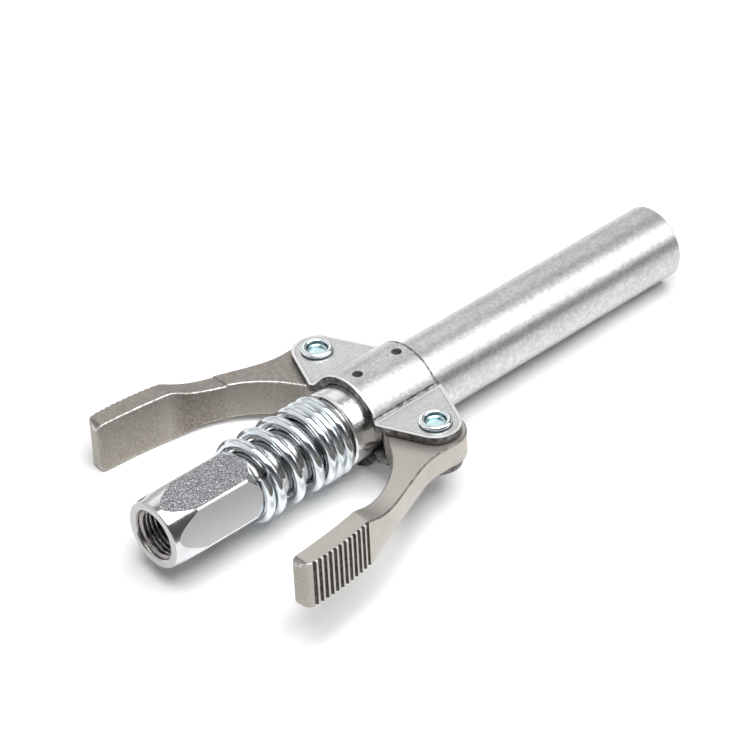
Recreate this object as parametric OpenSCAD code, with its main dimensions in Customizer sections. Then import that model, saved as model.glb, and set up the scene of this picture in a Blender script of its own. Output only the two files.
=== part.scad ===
// Locking grease coupler, squeezed open by two levers.
// Millimetres. The axis of the coupler is X, from the threaded inlet to the nose.
// The origin is the centre of the inlet's end face, and +Z is up.

/* [Inlet and stem] */
// Width of the inlet hexagon across its flats
hex_flats = 14.2; // [13:0.1:15]
// Diameter that the hexagon's corners are turned to
hex_corners = 16.1; // [15.4:0.1:17]
// Length of the hexagon
hex_len = 21.4; // [18:0.1:26]
// Turn of the hexagon about the axis
hex_turn = 16; // [0:1:59]
// Length of the slim cone on the inlet end
hex_cone_len = 6.6; // [3:0.1:8]
// Diameter of the stem behind the hexagon
stem_d = 12.4; // [12:0.1:12.8]
// Diameter of the inlet hole over its thread, a 1/8 inch pipe thread
inlet_bore_d = 10.3; // [9.8:0.05:10.6]
// Depth of the threaded hole
inlet_depth = 11; // [9:0.5:12]
// Diameter of the countersink at the inlet's mouth
inlet_mouth_d = 10.8; // [10.7:0.1:11.6]
// Diameter of the grease passage
passage_d = 2.5; // [2:0.1:3]

/* [Sleeve] */
// Thickness of the sleeve's wall
sleeve_wall = 1.75; // [1.5:0.05:2.2]
// Length of the sleeve
sleeve_len = 91.4; // [80:0.1:110]
// Length of the cone in the sleeve's mouth
mouth_cone_len = 4; // [3:0.1:5]
// Half angle of that cone
mouth_cone_angle = 12.5; // [12:0.1:13.5]

/* [Return spring] */
// Thickness of the return spring's wire
wire_d = 2.2; // [1.8:0.1:2.4]
// Length of the return spring at rest
spring_len = 23.1; // [21:0.1:28]
// Turns that lie closed at the sleeve's end
closed_turns = 2.95; // [2:0.05:3]
// Turns that stand open
open_turns = 2.95; // [2.5:0.05:3.5]

/* [Levers] */
// Distance from the sleeve's rear end to the lever rivets
pivot_from_end = 12.3; // [11:0.1:14]
// Distance of each rivet from the axis
pivot_side = 16.95; // [16:0.05:18]
// Angle that a lever turns through when it is squeezed
squeeze = 22; // [16:0.5:24]
// Reach of a lever from its rivet to its tip
lever_reach = 47; // [40:0.2:52]
// Distance that the tip's outer face stands out past the rivet
grip_out = 15.2; // [14.5:0.1:18]
// Thickness of the grip at its tip
grip_t = 4.2; // [3.6:0.1:5]
// Height of the grip
grip_h = 10.2; // [8:0.1:12]
// Height of the lever at its hub
hub_h = 5.3; // [4.8:0.1:6]
// Radius of the hub
hub_r = 6; // [5.5:0.1:6.2]
// Depth that the grip's inner side hangs below its outer side
grip_drop = 0.8; // [0.4:0.1:1.2]
// Depth of the rib under the neck, below the hub's middle
rib_h = 5.1; // [4:0.1:5.6]
// Thickness of that rib
rib_t = 2.2; // [1.6:0.1:3]
// Radius of the nose that pushes the stem
nose_r = 1.3; // [1.1:0.05:1.4]
// Number of grooves across the grip
groove_count = 12; // [8:1:14]
// Distance from one groove to the next
groove_pitch = 1.3; // [1.2:0.05:1.5]
// Depth of a groove
groove_depth = 0.45; // [0.2:0.05:0.6]

/* [Brackets and rivets] */
// Thickness of the bracket's sheet
sheet_t = 1.5; // [1.2:0.1:1.7]
// Inner radius of the bend between wrap and ear
bend_r = 1.2; // [0.8:0.1:1.4]
// Radius of the ear round its rivet
ear_r = 5.1; // [4.6:0.1:5.6]
// Distance that the wrap reaches behind the rivets
wrap_rear = 7.8; // [6:0.1:9]
// Distance that the wrap reaches ahead of the rivets
wrap_fore = 8.7; // [7:0.1:10]
// Distance that the ear's corner reaches behind the rivets
ear_rear = 8.8; // [7:0.1:10]
// Gap between the sleeve and the wrap
wrap_gap = 0.15; // [0.1:0.05:0.2]
// Diameter of the rivet's shank
rivet_d = 5; // [4.4:0.1:5.2]
// Diameter of the rivet's rolled rim
rim_d = 6.6; // [6.4:0.1:7.4]
// Diameter of the rivet's made head
rivet_head_d = 8.4; // [7.6:0.1:9]
// Thickness of the rivet's heads
rivet_head_t = 0.85; // [0.6:0.05:1.1]
// Rounding of the rivet's rolled rim
rim_roll = 0.55; // [0.4:0.05:0.7]
// Diameter of the pins that lock the brackets to the sleeve
pin_d = 2.1; // [1.6:0.1:2.4]
// Distance of the rear pins behind the rivets
pin_rear = 4.4; // [3.5:0.1:5]
// Distance of the front pins ahead of the rivets
pin_fore = 5.9; // [5:0.1:6.5]
// Depth of a pin below the bracket's surface
pin_sunk = 0.8; // [0.5:0.1:1]

/* [Jaws and seal] */
// Length of a jaw
jaw_len = 23; // [21:0.5:26]
// Angle that a jaw opens by
jaw_open = 3; // [2:0.1:3.2]
// Thickness of a jaw round the stem's head
jaw_wall = 1.1; // [0.9:0.05:1.2]
// Diameter of the hole that the closed jaws leave for the fitting
grip_bore = 6; // [5.8:0.1:6.4]
// Distance that the seal gives way when a fitting presses on it
seal_travel = 1.2; // [0.8:0.1:1.5]
// Length of the seal
seal_len = 9.6; // [8:0.1:11]
// Diameter of the plunger's tail
plunger_d = 5.7; // [5.4:0.1:5.9]
// Length of the plunger's tail
plunger_len = 13; // [11:0.5:15]
// Thickness of the plunger spring's wire
plunger_wire = 0.7; // [0.5:0.05:0.8]

/* [Check valve] */
// Diameter of the valve's chamber
chamber_d = 6.6; // [6:0.1:7.4]
// Length of the valve's chamber
chamber_len = 14; // [13:0.5:18]
// Diameter of the check ball
ball_d = 4.4; // [4:0.1:4.8]
// Diameter of the hole in the valve's seat
seat_hole_d = 3; // [2.6:0.1:3.4]
// Thickness of the valve's seat
seat_t = 3; // [2:0.1:4]
// Thickness of the check spring's wire
check_wire = 0.5; // [0.4:0.05:0.6]

/* [Clearances] */
// Gap all round between the stem and the sleeve
slide_fit = 0.05; // [0.03:0.01:0.1]
// Gap all round between a lever's bore and its rivet
hinge_fit = 0.05; // [0.03:0.01:0.1]
// Gap all round of a piece that is driven or pressed home
press_fit = 0.02; // [0.01:0.01:0.03]
// Gap between pieces that move past each other
run_gap = 0.3; // [0.25:0.05:0.4]
// Gap between a lever's hub and each ear
hub_play = 0.4; // [0.1:0.05:0.5]
// Gap between the closed jaws and the cone that holds them
cone_gap = 0.08; // [0.06:0.01:0.12]

/* [Hidden] */
$fn = 64;
past = 1;

stem_r = stem_d / 2;
sleeve_bore_r = stem_r + slide_fit;
sleeve_r = sleeve_bore_r + sleeve_wall;
sleeve_start = hex_len + spring_len;
sleeve_end = sleeve_start + sleeve_len;

// Levers: the nose swings as far ahead of the rivet as it stands behind it at rest
pivot_x = sleeve_start + pivot_from_end;
nose_bite = 0.95;
nose_side = stem_r - nose_bite;
nose_len = (pivot_side - nose_side) / cos(squeeze / 2);
nose_back = nose_len * sin(squeeze / 2);
heel = [-8.2, -5.3];
flank_angle = 0;
arm_angle = 105;
pad_len = 16.6;
neck_len = 20;
rib_end = 11;
tip_round = 1.4;
tip_in_r = 1;
tip_out_r = 2.2;
arm_dip = 10.3;
arm_bow = 1.6;
heel_pull = [-13.6, 4.5];

// Groove in the stem that both noses work in
groove_front = pivot_x - nose_back + nose_r + hinge_fit;
groove_back = pivot_x - nose_back - nose_r - 2.9;
groove_r = pivot_side - nose_len - nose_r - run_gap;

// Windows in the sleeve that the noses pass through
window_rear = 6;
window_fore = 4.2;
window_back = pivot_x - window_rear;
window_front = pivot_x + window_fore;
window_half_h = hub_h / 2 + run_gap;

// Brackets
ear_under = hub_h / 2 + hub_play;
ear_top = ear_under + sheet_t;
wrap_in = sleeve_r + wrap_gap;
wrap_out = wrap_in + sheet_t;
bend_z = ear_top + bend_r;
bend_y = sqrt(pow(wrap_out + bend_r, 2) - pow(bend_z, 2));
bend_angle = atan2(bend_z, bend_y);
wrap_back = pivot_x - wrap_rear;
wrap_front = pivot_x + wrap_fore;
ear_back = pivot_x - ear_rear;
pin_places = [pivot_x - pin_rear, pivot_x + pin_fore];

// Jaws and the head of the stem that they hook on
jaw_front = sleeve_end - 0.2;
jaw_back = jaw_front - jaw_len;
shoulder = jaw_back - run_gap;
lip_len = 2.6;
head_back = jaw_back + lip_len + 0.2;
head_front = head_back + 2;
jaw_out_r = sleeve_bore_r - 0.15;
pocket_r = jaw_out_r - jaw_wall;
head_r = pocket_r - 0.2;
lip_r = head_r - 0.8;
neck_r = lip_r - 0.2;
jaw_bore_r = pocket_r - 0.6;
mouth_start = sleeve_end - mouth_cone_len;
cone_slope = tan(mouth_cone_angle);
arm_end = mouth_start - 2.5;
arm_end_r = jaw_out_r - (arm_end - jaw_back - lip_len) * tan(jaw_open);
grip_len = 3.7;

// Seal, plunger and their spring
seal_front = jaw_front - grip_len - run_gap;
seal_back = seal_front - seal_len;
seal_r = jaw_bore_r - run_gap;
plunger_head_back = head_front + seal_travel + run_gap;
plunger_back = plunger_head_back - plunger_len;
plunger_bore_r = plunger_d / 2 + slide_fit;
plunger_bore_len = 9;
plunger_bore_back = plunger_back - plunger_bore_len;
ring_thick = 1.1;
ring_place = plunger_back + 3;
seal_passage_r = 1.1;

// Check valve
chamber_r = chamber_d / 2;
seat_front = inlet_depth + seat_t;
ball_x = seat_front + sqrt(pow(ball_d / 2, 2) - pow(seat_hole_d / 2, 2)) + press_fit;
chamber_end = inlet_depth + chamber_len;

steel = [0.78, 0.79, 0.8];
bright_zinc = [0.86, 0.88, 0.9];
satin_zinc = [0.7, 0.71, 0.72];
cast_grey = [0.62, 0.6, 0.58];
brass = [0.8, 0.65, 0.35];
rubber = [0.12, 0.12, 0.13];

// A round bar along the axis
module bar(r, from, to) {
    translate([from, 0, 0])
        rotate([0, 90, 0])
            cylinder(r = r, h = to - from);
}

// A tapered bar along the axis
module taper(r_from, r_to, from, to) {
    translate([from, 0, 0])
        rotate([0, 90, 0])
            cylinder(r1 = r_from, r2 = r_to, h = to - from);
}

// A profile of [radius, place] points turned about the axis
module turned(points, angle = 360, start = 0) {
    rotate([0, 90, 0])
        rotate([0, 0, start])
            rotate_extrude(angle = angle)
                polygon(points);
}

function bezier(p, steps) = [for (i = [0 : steps])
    let (t = i / steps, s = 1 - t)
    s * s * s * p[0] + 3 * s * s * t * p[1] + 3 * s * t * t * p[2] + t * t * t * p[3]];

function arc(centre, r, from, to, steps) = [for (i = [0 : steps])
    let (a = from + (to - from) * i / steps)
    centre + r * [cos(a), sin(a)]];

// Angle at which a line from point p touches a circle, on one side of it (1) or the other (-1)
function touch_angle(p, centre, r, side) =
    let (d = p - centre)
    atan2(d[1], d[0]) + side * acos(r / norm(d));

function mirrored(points) = [for (i = [len(points) - 1 : -1 : 0]) [points[i][0], -points[i][1]]];

// A wire wound along the axis: place(u) gives its X after u turns
module coil(places, turn_r, wire, first_angle, per_turn, sides) {
    last = len(places) - 1;
    points = [for (i = [0 : last], j = [0 : sides - 1])
        let (a = first_angle + 360 * i / per_turn, b = 360 * j / sides,
             r = turn_r + wire / 2 * cos(b))
        [places[i] + wire / 2 * sin(b), r * cos(a), r * sin(a)]];
    walls = [for (i = [0 : last - 1], j = [0 : sides - 1])
        let (k = (j + 1) % sides)
        [i * sides + j, i * sides + k, (i + 1) * sides + k, (i + 1) * sides + j]];
    ends = [[for (j = [0 : sides - 1]) sides - 1 - j], [for (j = [0 : sides - 1]) last * sides + j]];
    polyhedron(points, concat(walls, ends));
}

// Hexagon with a slim cone at the inlet and a short one at the spring
module hexagon() {
    rear_cone = 2.5;
    end_r = hex_flats / 2 - 0.15;
    intersection() {
        rotate([hex_turn - 30, 0, 0])
            rotate([0, 90, 0])
                cylinder(d = hex_flats / cos(30), h = hex_len, $fn = 6);
        union() {
            taper(end_r, hex_corners / 2, 0, hex_cone_len);
            bar(hex_corners / 2, hex_cone_len, hex_len - rear_cone);
            taper(hex_corners / 2, hex_flats / 2, hex_len - rear_cone, hex_len);
        }
    }
}

module stem_body() {
    sink = (inlet_mouth_d - inlet_bore_d) / 2;
    color(steel)
        difference() {
            union() {
                hexagon();
                turned([[0, hex_len - past], [stem_r, hex_len - past], [stem_r, groove_back],
                    [groove_r, groove_back], [groove_r, groove_front], [stem_r, groove_front],
                    [stem_r, shoulder], [neck_r, shoulder], [neck_r, head_back], [head_r, head_back],
                    [head_r, head_front], [0, head_front]]);
            }
            taper(inlet_mouth_d / 2, inlet_bore_d / 2, 0, sink);
            bar(inlet_bore_d / 2, 0, inlet_depth);
            bar(chamber_r, inlet_depth - past, chamber_end);
            bar(passage_d / 2, chamber_end - past, plunger_bore_back + past);
            bar(plunger_bore_r, plunger_bore_back, head_front + past);
        }
}

// Ring pressed into the bottom of the threaded hole, with the ball's seat on its far face
module check_seat() {
    color(brass)
        difference() {
            bar(chamber_r - press_fit, inlet_depth, seat_front);
            bar(seat_hole_d / 2, inlet_depth - past, seat_front + past);
        }
}

module check_ball() {
    color(steel)
        translate([ball_x, 0, 0])
            sphere(d = ball_d);
}

module check_spring() {
    per_turn = 14;
    turns = 4;
    turn_r = seat_hole_d / 2 - 0.1;
    from = ball_x + sqrt(pow(ball_d / 2 + check_wire / 2, 2) - turn_r * turn_r) + press_fit;
    to = chamber_end - check_wire / 2;
    steps = per_turn * turns;
    color(bright_zinc)
        coil([for (i = [0 : steps]) from + (to - from) * i / steps], turn_r, check_wire, 0, per_turn, 6);
}

// Return spring: its first part lies flat on the hexagon, then it opens, then it closes up
module return_spring() {
    per_turn = 24;
    flat_turns = 0.55;
    turns = flat_turns + open_turns + closed_turns;
    closed_pitch = wire_d + 0.04;
    first = hex_len + wire_d / 2;
    last = sleeve_start - wire_d / 2;
    open_pitch = (last - first - closed_turns * closed_pitch) / open_turns;
    color(bright_zinc)
        coil([for (i = [0 : floor(turns * per_turn)])
                let (u = i / per_turn,
                     in_open = min(max(u - flat_turns, 0), open_turns),
                     in_closed = max(u - flat_turns - open_turns, 0))
                first + in_open * open_pitch + in_closed * closed_pitch],
            stem_r + 0.25 + wire_d / 2, wire_d, 145, per_turn, 8);
}

module barrel_sleeve() {
    edge = 0.4;
    color(satin_zinc)
        difference() {
            turned([[sleeve_bore_r, sleeve_start], [sleeve_r - edge, sleeve_start],
                [sleeve_r, sleeve_start + edge], [sleeve_r, sleeve_end - edge],
                [sleeve_r - edge, sleeve_end], [sleeve_bore_r + mouth_cone_len * cone_slope, sleeve_end],
                [sleeve_bore_r, mouth_start]]);
            translate([window_back, -sleeve_r - past, -window_half_h])
                cube([window_front - window_back, 2 * (sleeve_r + past), 2 * window_half_h]);
            for (x = pin_places)
                translate([x, 0, -sleeve_r - past])
                    cylinder(d = pin_d + 2 * press_fit, h = 2 * (sleeve_r + past));
        }
}

// One half of the bracket, seen along the axis: wrap, two bends and two ears
module bracket_section() {
    far = 2 * wrap_out;
    lap_angle = bend_angle - 0.5;
    difference() {
        intersection() {
            circle(r = wrap_out);
            polygon([[0, 0], far * [cos(lap_angle), sin(lap_angle)], [far, far], [-far, far],
                far * [-cos(lap_angle), sin(lap_angle)]]);
        }
        circle(r = wrap_in);
    }
    for (side = [0, 1])
        mirror([side, 0]) {
            intersection() {
                translate([bend_y, bend_z])
                    difference() {
                        circle(r = bend_r + sheet_t);
                        circle(r = bend_r);
                    }
                polygon([[bend_y, bend_z], [0, 0], [bend_y, 0]]);
            }
            translate([bend_y, ear_under])
                square([pivot_side + ear_r + past - bend_y, sheet_t]);
        }
}

// One half of the bracket, seen from above
module bracket_plan() {
    pivot = [pivot_x, pivot_side];
    corner_back = [ear_back, wrap_in + 1.4];
    corner_front = [wrap_front + 0.7, wrap_in + 0.5];
    ear = arc(pivot, ear_r, touch_angle(corner_back, pivot, ear_r, -1) + 360,
        touch_angle(corner_front, pivot, ear_r, 1), 24);
    half = concat([[wrap_back, wrap_in - 0.6], corner_back], ear,
        [corner_front, [wrap_front, wrap_in - 0.6]]);
    polygon(concat(half, mirrored(half)));
}

module bracket_half() {
    color(satin_zinc)
        difference() {
            intersection() {
                translate([ear_back - past, 0, 0])
                    rotate([90, 0, 90])
                        linear_extrude(wrap_front - ear_back + 4 * past)
                            bracket_section();
                linear_extrude(2 * wrap_out)
                    bracket_plan();
            }
            for (side = [-1, 1])
                translate([pivot_x, side * pivot_side, 0])
                    cylinder(d = rivet_d + 2 * press_fit, h = 2 * wrap_out);
            for (x = pin_places)
                translate([x, 0, 0])
                    cylinder(d = pin_d + 2 * press_fit, h = 2 * wrap_out);
        }
}

module upper_bracket() {
    bracket_half();
}

module lower_bracket() {
    mirror([0, 0, 1])
        bracket_half();
}

// Four pins, driven in below the bracket's surface
module bracket_pins() {
    inner = sleeve_bore_r + 0.1;
    color(steel)
        for (x = pin_places, side = [0, 1])
            mirror([0, 0, side])
                translate([x, 0, inner])
                    cylinder(d = pin_d, h = wrap_out - pin_sunk - inner);
}

// Rivet with a made head below and a rolled, hollow rim above
module rivet() {
    shank_r = rivet_d / 2;
    hollow_r = rim_d / 2 - 1.15;
    hollow = 1.8;
    rim_turn = 120;
    top = ear_top + rivet_head_t;
    color(bright_zinc)
        rotate_extrude()
            polygon(concat(
                [[0, -ear_top - rivet_head_t], [rivet_head_d / 2 - 0.9, -ear_top - rivet_head_t],
                 [rivet_head_d / 2, -ear_top - 0.3], [rivet_head_d / 2, -ear_top], [shank_r, -ear_top],
                 [shank_r, ear_top], [rim_d / 2, ear_top]],
                arc([rim_d / 2 - rim_roll, top - rim_roll], rim_roll, 0, rim_turn, 6),
                [[hollow_r, top - 0.6], [hollow_r - 0.2, top - hollow], [0, top - hollow - 0.3]]));
}

module left_rivet() {
    translate([pivot_x, pivot_side, 0])
        rivet();
}

module right_rivet() {
    translate([pivot_x, -pivot_side, 0])
        rivet();
}

// Edges of a lever seen from above, from its rivet: the tip is at -X and the nose points at the axis
grip_in = grip_out - grip_t;
tip_out = tip_out_r - lever_reach + past / 5;
arm_outer = bezier([[tip_out, grip_out], [-0.44 * lever_reach, grip_out],
    [-0.272 * lever_reach, grip_out - arm_dip], [-0.48 * hub_r, 0.975 * hub_r]], 20);
arm_inner = bezier([heel, heel_pull, [-0.415 * lever_reach, grip_in - arm_bow],
    [tip_in_r - lever_reach, grip_in]], 20);

module lever_plan() {
    tip = [-nose_back, nose_side - pivot_side];
    flank = tip + nose_r * [cos(flank_angle), sin(flank_angle)];
    up = [-sin(flank_angle), cos(flank_angle)];
    along = -flank * up;
    meet = flank + (along - sqrt(along * along - flank * flank + hub_r * hub_r)) * up;
    polygon(concat(arm_outer, arc([0, 0], hub_r, arm_angle, atan2(meet[1], meet[0]), 24),
        arc(tip, nose_r, flank_angle, touch_angle(heel, tip, nose_r, 1) - 360, 12), arm_inner,
        arc([tip_in_r - lever_reach, grip_in + tip_in_r], tip_in_r, 265, 180, 6),
        arc([tip_out, grip_out - tip_out_r], tip_out_r, 180, 95, 8)));
}

// Where the grip's height ends, and the slope from there to the flat neck
pad_end = pad_len - lever_reach;
slope = bezier([[pad_end, grip_h / 2], [pad_end + 2, grip_h / 2], [-neck_len - 6.5, hub_h / 2 + 0.1],
    [-neck_len, hub_h / 2]], 12);

// A lever seen from the side: a tall grip, a neck with a rib below it, and a flat hub
module lever_side() {
    tip_x = tip_round - lever_reach - 0.3;
    low = grip_h / 2 + grip_drop;
    rise = [[hub_r + past, -hub_h / 2], [-rib_end + 1.5, -hub_h / 2], [-rib_end, -rib_h]];
    fall = bezier([[-neck_len - 3, -rib_h], [-neck_len - 5.5, -rib_h], [pad_end + 3, -low],
        [pad_end, -low]], 8);
    polygon(concat(arc([tip_x, grip_h / 2 - tip_round], tip_round, 180, 90, 6), slope,
        [[hub_r + past, hub_h / 2]], rise, fall,
        arc([tip_x, tip_round - low], tip_round, 270, 180, 6)));
}

// What is left out below the arm's outer side, seen from the side and from above
module pocket_side() {
    deep = 2 * grip_h;
    polygon(concat([[-2 * lever_reach, -deep], [-2 * lever_reach, -grip_h / 2]],
        [for (p = slope) [p[0], -p[1]]], [[hub_r, -hub_h / 2], [hub_r, -deep]]));
}

module pocket_plan() {
    far = grip_out + grip_t;
    middle = [for (p = arm_inner) if (p[0] < 2 - rib_end) p + [0, rib_t]];
    polygon(concat(middle, [[-2 * lever_reach, grip_in + rib_t], [-2 * lever_reach, far], [2 - rib_end, far]]));
}

module lever() {
    groove_half = 0.45;
    first_groove = 2.2 - lever_reach;
    reach = grip_out + grip_t;
    color(cast_grey)
        difference() {
            intersection() {
                translate([0, 0, -grip_h])
                    linear_extrude(2 * grip_h)
                        lever_plan();
                translate([0, 2 * reach, 0])
                    rotate([90, 0, 0])
                        linear_extrude(4 * reach)
                            lever_side();
            }
            intersection() {
                translate([0, 0, -2 * grip_h])
                    linear_extrude(4 * grip_h)
                        pocket_plan();
                translate([0, 2 * reach, 0])
                    rotate([90, 0, 0])
                        linear_extrude(4 * reach)
                            pocket_side();
            }
            cylinder(d = rivet_d + 2 * hinge_fit, h = 2 * grip_h, center = true);
            for (i = [0 : groove_count - 1]) {
                x = first_groove + i * groove_pitch;
                translate([x, lookup(x, arm_outer) + groove_half - groove_depth, 0])
                    cylinder(r = groove_half, h = 2 * grip_h, center = true);
            }
        }
}

module left_lever() {
    translate([pivot_x, pivot_side, 0])
        lever();
}

module right_lever() {
    mirror([0, 1, 0])
        left_lever();
}

// One of four jaws: a hooked foot behind the stem's head, an arm, and a wedge that the sleeve closes
module jaw(turn) {
    quarter = 90;
    slit = 6;
    wedge_back_r = sleeve_bore_r - cone_gap;
    wedge_front_r = wedge_back_r + (jaw_front - mouth_start) * cone_slope;
    grip_r = grip_bore / 2;
    grip_back = jaw_front - grip_len;
    color(steel)
        turned([[lip_r, jaw_back], [jaw_out_r - 0.3, jaw_back], [jaw_out_r, jaw_back + 0.3],
            [jaw_out_r, jaw_back + lip_len], [arm_end_r, arm_end], [wedge_back_r, mouth_start],
            [wedge_front_r, jaw_front], [grip_r + 1, jaw_front], [grip_r, jaw_front - 1.2],
            [grip_r, grip_back + 0.8], [grip_r + 0.5, grip_back], [jaw_bore_r, grip_back],
            [jaw_bore_r, head_front + 0.8], [pocket_r, head_front + 0.2],
            [pocket_r, jaw_back + lip_len], [lip_r, jaw_back + lip_len]],
            quarter - slit, turn - (quarter - slit) / 2);
}

module jaw_top() {
    jaw(180);
}

module jaw_left() {
    jaw(90);
}

module jaw_bottom() {
    jaw(0);
}

module jaw_right() {
    jaw(270);
}

// Plunger that floats in the stem and carries the seal
module seal_plunger() {
    ring_groove = ring_thick + 0.3;
    groove_from = ring_place - ring_groove / 2;
    tail_r = plunger_d / 2;
    color(brass)
        difference() {
            turned([[0, plunger_back], [tail_r - 0.3, plunger_back], [tail_r, plunger_back + 0.3],
                [tail_r, groove_from], [tail_r - ring_thick, groove_from],
                [tail_r - ring_thick, groove_from + ring_groove], [tail_r, groove_from + ring_groove],
                [tail_r, plunger_head_back], [seal_r, plunger_head_back], [seal_r, seal_back],
                [0, seal_back]]);
            bar(seal_passage_r, plunger_back - past, seal_back + past);
        }
}

// Sealing ring in the plunger's groove
module plunger_ring() {
    color(rubber)
        translate([ring_place, 0, 0])
            rotate([0, 90, 0])
                rotate_extrude()
                    translate([plunger_d / 2 - ring_thick / 2, 0])
                        circle(d = ring_thick);
}

module plunger_spring() {
    per_turn = 14;
    turns = 5;
    steps = per_turn * turns;
    from = plunger_bore_back + plunger_wire / 2;
    to = plunger_back - plunger_wire / 2;
    turn_r = plunger_bore_r - 0.15 - plunger_wire / 2;
    color(bright_zinc)
        coil([for (i = [0 : steps]) from + (to - from) * i / steps], turn_r, plunger_wire, 0, per_turn, 6);
}

// Soft seal that a grease fitting's tip presses on
module nozzle_seal() {
    color(rubber)
        turned([[seal_passage_r, seal_back], [seal_r, seal_back], [seal_r, seal_front - 0.8],
            [seal_r - 0.8, seal_front], [seal_passage_r + 1.2, seal_front],
            [seal_passage_r, seal_front - 1]]);
}

stem_body();
check_seat();
check_ball();
check_spring();
return_spring();
barrel_sleeve();
upper_bracket();
lower_bracket();
bracket_pins();
left_rivet();
right_rivet();
left_lever();
right_lever();
jaw_top();
jaw_left();
jaw_bottom();
jaw_right();
seal_plunger();
plunger_ring();
plunger_spring();
nozzle_seal();
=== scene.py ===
# %% [markdown]
# # A locking grease coupler
# A grease gun's hose screws into the hexagon. Squeezing the two levers draws the sleeve back against
# the coil spring, which lets four jaws in the nose open and take hold of a grease fitting.
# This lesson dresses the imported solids: each step says what a piece is, how it could be made in
# Blender, and why it was made this way. Lengths are written in millimetres and become metres in MM.

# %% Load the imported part
import collections
import contextlib
import functools
import math
import bmesh
import bpy
from mathutils import Matrix, Vector


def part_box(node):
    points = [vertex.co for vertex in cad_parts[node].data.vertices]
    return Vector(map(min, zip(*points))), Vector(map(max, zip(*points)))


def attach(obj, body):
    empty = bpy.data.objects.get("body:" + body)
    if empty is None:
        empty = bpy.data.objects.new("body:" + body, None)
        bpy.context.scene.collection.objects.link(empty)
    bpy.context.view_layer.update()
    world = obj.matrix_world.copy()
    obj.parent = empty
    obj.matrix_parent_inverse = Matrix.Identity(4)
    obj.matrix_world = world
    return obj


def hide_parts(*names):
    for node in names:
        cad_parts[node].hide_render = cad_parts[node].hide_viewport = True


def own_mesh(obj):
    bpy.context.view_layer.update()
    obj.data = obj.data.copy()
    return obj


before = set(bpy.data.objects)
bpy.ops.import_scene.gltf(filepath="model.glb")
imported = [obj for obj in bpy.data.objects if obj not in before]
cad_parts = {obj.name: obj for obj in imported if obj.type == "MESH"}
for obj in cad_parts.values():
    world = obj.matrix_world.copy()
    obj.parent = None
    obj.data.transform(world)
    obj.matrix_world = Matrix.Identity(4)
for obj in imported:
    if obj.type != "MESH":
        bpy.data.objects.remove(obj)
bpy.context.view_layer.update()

MM = 0.001

# %% [markdown]
# ## Camera
# The camera could be turned by hand until the picture looks right. Here its place and its three
# directions are written out, because they were worked out once from straight and round edges of the
# coupler. A long lens keeps the sleeve's sides almost parallel.

# %% Camera
image_px = 730
focal_px = 3086.5
camera_place = Vector((-261.57, -364.24, 361.26)) * MM
camera_right = Vector((0.73385, -0.67795, -0.04287))
camera_up = Vector((0.42483, 0.40878, 0.80773))
camera_back = Vector((-0.53008, -0.61097, 0.58800))


def put(name, data):
    """Put data in the scene as an object at the origin."""
    made = bpy.data.objects.new(name, data)
    bpy.context.scene.collection.objects.link(made)
    return made


lens = bpy.data.cameras.new("camera")
lens.sensor_width = 36
lens.lens = focal_px / image_px * lens.sensor_width
camera = put("camera", lens)
camera_turn = Matrix((camera_right, camera_up, camera_back)).transposed()
camera.matrix_world = Matrix.Translation(camera_place) @ camera_turn.to_4x4()
bpy.context.scene.camera = camera
bpy.context.scene.view_settings.view_transform = "Standard"
print("lens", round(lens.lens, 1), "mm")

# %% [markdown]
# ## Metal finishes
# Zinc plate is metal, so its colour is the colour of its reflection. What tells a drawn tube from a
# bright wire is how rough it is and what lies on it: grain, streaks and clouds. One function makes
# them all from noise on Object coordinates, so the pattern has a size in millimetres and stays put.
# Wear, dirt and cut edges belong to certain faces only, and so do the painted shade and painted
# highlights that some marks put where light and shade fall. They could be drawn into a picture, but an
# attribute on the faces does it without one: a mark in the material reads the attribute by its name.

# %% Node helpers
def feed(tree, socket, value):
    """Link a socket to another one or to a node's first output, or set it to a plain value."""
    if isinstance(value, bpy.types.Node):
        value = value.outputs[0]
    if isinstance(value, bpy.types.NodeSocket):
        tree.links.new(value, socket)
    else:
        socket.default_value = value


def add(tree, kind, settings=(), **values):
    """Add a node, set its own settings, and set or link its inputs by name."""
    made = tree.nodes.new(kind)
    for key, value in dict(settings).items():
        setattr(made, key, value)
    for key, value in values.items():
        feed(tree, made.inputs[key.replace("_", " ")], value)
    return made


def calculate(tree, operation, *values):
    """A Math node; each value is a number, a node or a socket."""
    made = add(tree, "ShaderNodeMath", {"operation": operation})
    for socket, value in zip(made.inputs, values):
        feed(tree, socket, value)
    return made


def reach(tree, value, low, high, to_low, to_high):
    """Stretch a value from one range to another, held at its ends."""
    return add(tree, "ShaderNodeMapRange", Value=value, From_Min=low, From_Max=high,
               To_Min=to_low, To_Max=to_high)


def noise(tree, place, size_mm, detail=4.0, stretch=(1, 1, 1)):
    """Noise with blobs of about size_mm, drawn out along an axis by a small stretch."""
    mapped = add(tree, "ShaderNodeMapping", Vector=place, Scale=stretch)
    made = add(tree, "ShaderNodeTexNoise", Vector=mapped, Scale=1 / (size_mm * MM), Detail=detail,
               Roughness=0.55)
    return made.outputs["Fac"]


def spread(tree, value, to_low=0, to_high=1):
    """Noise keeps near its middle, so its middle part is stretched to a full range."""
    return reach(tree, value, 0.3, 0.7, to_low, to_high)


def blend_colour(tree, share, first, second):
    """Mix two colours by a share; each is a socket or a value."""
    made = add(tree, "ShaderNodeMix", {"data_type": "RGBA"})
    sockets = [made.inputs["Factor"]] + [socket for socket in made.inputs if socket.type == "RGBA"]
    for socket, value in zip(sockets, (share, first, second)):
        feed(tree, socket, value)
    return [socket for socket in made.outputs if socket.type == "RGBA"][0]


def shade(colour, factor):
    """A lighter or darker form of a colour, with the fourth number that sockets want."""
    return tuple(min(1.0, part * factor) for part in colour[:3]) + (1.0,)


def attribute(tree, name, output="Fac"):
    """What the mesh carries under a name."""
    return add(tree, "ShaderNodeAttribute", {"attribute_name": name}).outputs[output]


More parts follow.
